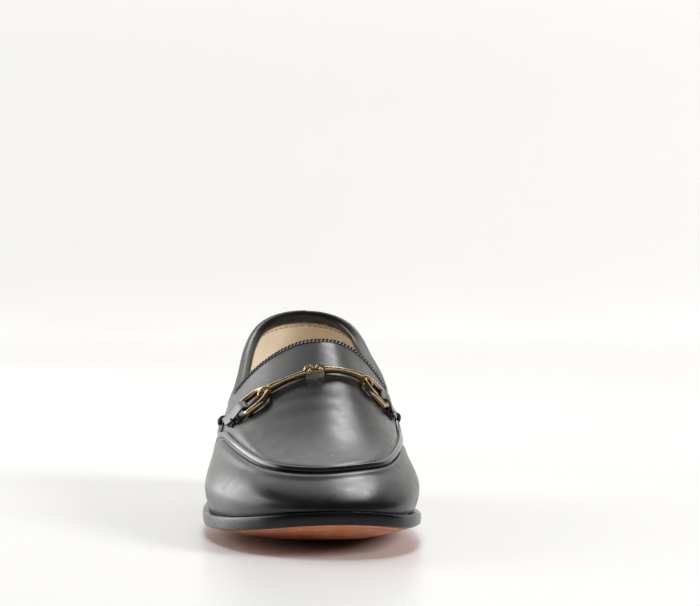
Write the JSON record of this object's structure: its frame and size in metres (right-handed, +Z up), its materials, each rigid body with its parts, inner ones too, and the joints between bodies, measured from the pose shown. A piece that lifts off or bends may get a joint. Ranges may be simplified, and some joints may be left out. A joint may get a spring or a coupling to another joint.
{
  "type": "bit loafer",
  "caption": "Right bit loafer in black calf with a piped apron, a metal horse bit, a leather sole and a low stacked heel.",
  "frame": {"origin": "on the floor, under the middle of the shoe's length and width", "axes": "+Z up, -Y towards the toe, +X towards the big-toe side"},
  "size_m": [0.0848, 0.2542, 0.0823],
  "materials": {
    "black_calf": "glossy",
    "sole_leather": "satin",
    "heel_leather": "satin",
    "lift_rubber": "matte",
    "lining_leather": "satin",
    "bit_metal": "polished"
  },
  "bodies": {
    "root": {"upper": "black_calf", "apron_piping": "black_calf", "strap_lateral": "black_calf", "strap_medial": "black_calf", "outsole": "sole_leather", "heel_stack": "heel_leather", "heel_top_lift": "lift_rubber", "insole": "lining_leather", "bit_bar_lateral": "bit_metal", "bit_bar_medial": "bit_metal", "bit_link": "bit_metal", "bit_ring_lateral": "bit_metal", "bit_ring_medial": "bit_metal"}
  },
  "joints": []
}
